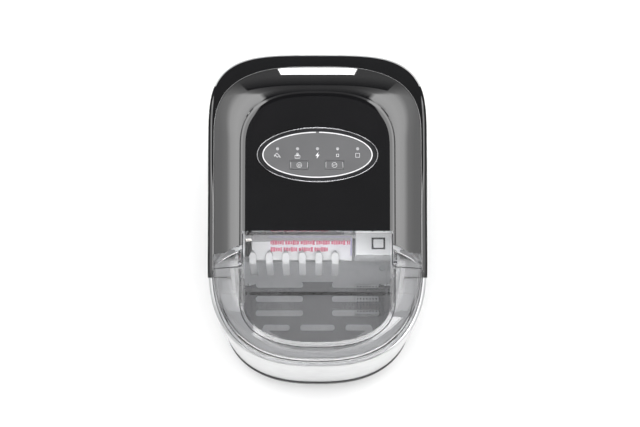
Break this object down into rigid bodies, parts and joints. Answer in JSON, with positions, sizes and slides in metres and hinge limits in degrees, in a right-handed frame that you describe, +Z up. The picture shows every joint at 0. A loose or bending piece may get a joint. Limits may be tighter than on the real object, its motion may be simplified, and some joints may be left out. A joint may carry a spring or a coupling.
{
  "type": "countertop ice maker",
  "caption": "Countertop bullet-ice maker: black gloss housing with silver front, oval key panel, hinged smoked lid, lift-out ice basket, tilting water tray, ice shovel, compressor and fan.",
  "frame": {"origin": "centre of the bounding box at the level of the feet, on the table", "axes": "+Z up, the silver front faces -Y, +X to the right as seen from the front"},
  "size_m": [0.242, 0.355, 0.328],
  "materials": {
    "black_matte": "fine matt black moulding",
    "black_satin": "satin black panel",
    "black_gloss": "high gloss piano black",
    "silver_front": "bright satin silver",
    "foot_rubber": "matt",
    "steel_pin": "plain",
    "dark_plastic": "matt",
    "bezel_chrome": "bright rim",
    "panel_film": "smooth grey overlay with printed marks",
    "light_lens": "clear lens, unlit",
    "key_grey": "smooth grey key with a printed ring",
    "circuit_green": "solder mask",
    "liner_grey": "light grey moulding",
    "foam": "open foam",
    "strainer_grey": "grey moulding",
    "clear_hose": "milky silicone",
    "plug_grey": "soft plug",
    "evaporator_metal": "nickel plated copper",
    "tray_grey": "grey moulding",
    "shovel_grey": "light grey moulding",
    "label_film": "printed film with a coloured edge",
    "smoked_basket": "smoked translucent moulding",
    "smoked_lid": "smoked transparent, polished",
    "compressor_black": "black stoved paint",
    "fin_aluminium": "thin bright fins",
    "motor_metal": "zinc plated",
    "valve_metal": "blue coil",
    "copper": "drawn copper",
    "wire_sleeve": "wire sleeve"
  },
  "bodies": {
    "cabinet": {"base_pan": "black_matte", "rubber_feet": "foot_rubber", "front_fascia": "silver_front", "side_panel_left": "black_satin", "side_panel_right": "black_satin", "rear_panel": "black_satin", "top_deck": "black_gloss", "control_pod": "black_gloss", "hinge_brackets": "black_matte", "hinge_pins": "steel_pin", "wet_partition": "dark_plastic", "control_bezel": "bezel_chrome", "control_panel": "panel_film", "indicator_lights": "light_lens", "control_board": "circuit_green", "inner_liner": "liner_grey", "liner_insulation": "foam", "strainer_cap": "strainer_grey", "water_pump": "black_matte", "fill_hose": "clear_hose", "drain_hose": "clear_hose", "drain_port": "black_matte", "evaporator": "evaporator_metal", "tray_bracket": "liner_grey", "tray_motor": "dark_plastic", "drive_cover": "liner_grey", "ice_sensors": "black_matte", "compressor": "compressor_black", "compressor_mounts": "foot_rubber", "condenser": "fin_aluminium", "fan_shroud": "black_matte", "fan_motor": "motor_metal", "gas_valve": "valve_metal", "filter_drier": "copper", "refrigerant_tubes": "copper", "electronics_shelf": "dark_plastic", "power_board": "circuit_green", "panel_harness": "wire_sleeve", "cord_gland": "foot_rubber", "case_screws": "steel_pin"},
    "lid": {"lid": "smoked_lid"},
    "basket": {"ice_basket": "smoked_basket"},
    "tray": {"water_tray": "tray_grey"},
    "shovel": {"ice_shovel": "shovel_grey", "shovel_label": "label_film"},
    "fan": {"fan_blades": "dark_plastic"},
    "power_key": {"power_button": "key_grey"},
    "select_key": {"select_button": "key_grey"},
    "drain_stopper": {"drain_plug": "plug_grey"}
  },
  "joints": [
    {"name": "lid_hinge", "type": "hinge", "parent": "cabinet", "child": "lid", "pos_m": [0, -0.057, 0.29367], "axis": [-1, 0, 0], "range_deg": [0, 95]},
    {"name": "basket_lift", "type": "slide", "parent": "cabinet", "child": "basket", "axis": [0, 0, 1], "range_m": [0, 0.04]},
    {"name": "tray_tilt", "type": "hinge", "parent": "cabinet", "child": "tray", "pos_m": [-0.024, -0.003, 0.228], "axis": [1, 0, 0], "range_deg": [0, 85]},
    {"name": "shovel_slide", "type": "slide", "parent": "cabinet", "child": "shovel", "axis": [0, -1, 0], "range_m": [0, 0.018]},
    {"name": "fan_spin", "type": "hinge", "parent": "cabinet", "child": "fan", "pos_m": [0.0605, 0.092, 0.115], "axis": [1, 0, 0], "continuous": true},
    {"name": "power_press", "type": "slide", "parent": "cabinet", "child": "power_key", "axis": [0, 0.098, -0.9952], "range_m": [0, 0.0006], "stiffness_N_per_m": 1500},
    {"name": "select_press", "type": "slide", "parent": "cabinet", "child": "select_key", "axis": [0, 0.098, -0.9952], "range_m": [0, 0.0006], "stiffness_N_per_m": 1500},
    {"name": "drain_plug_pull", "type": "slide", "parent": "cabinet", "child": "drain_stopper", "axis": [1, 0, 0], "range_m": [0, 0.025]}
  ],
  "couplings": [
    {"joint": "shovel_slide", "follows": "tray_tilt", "m_per_rad": 0.0121}
  ]
}
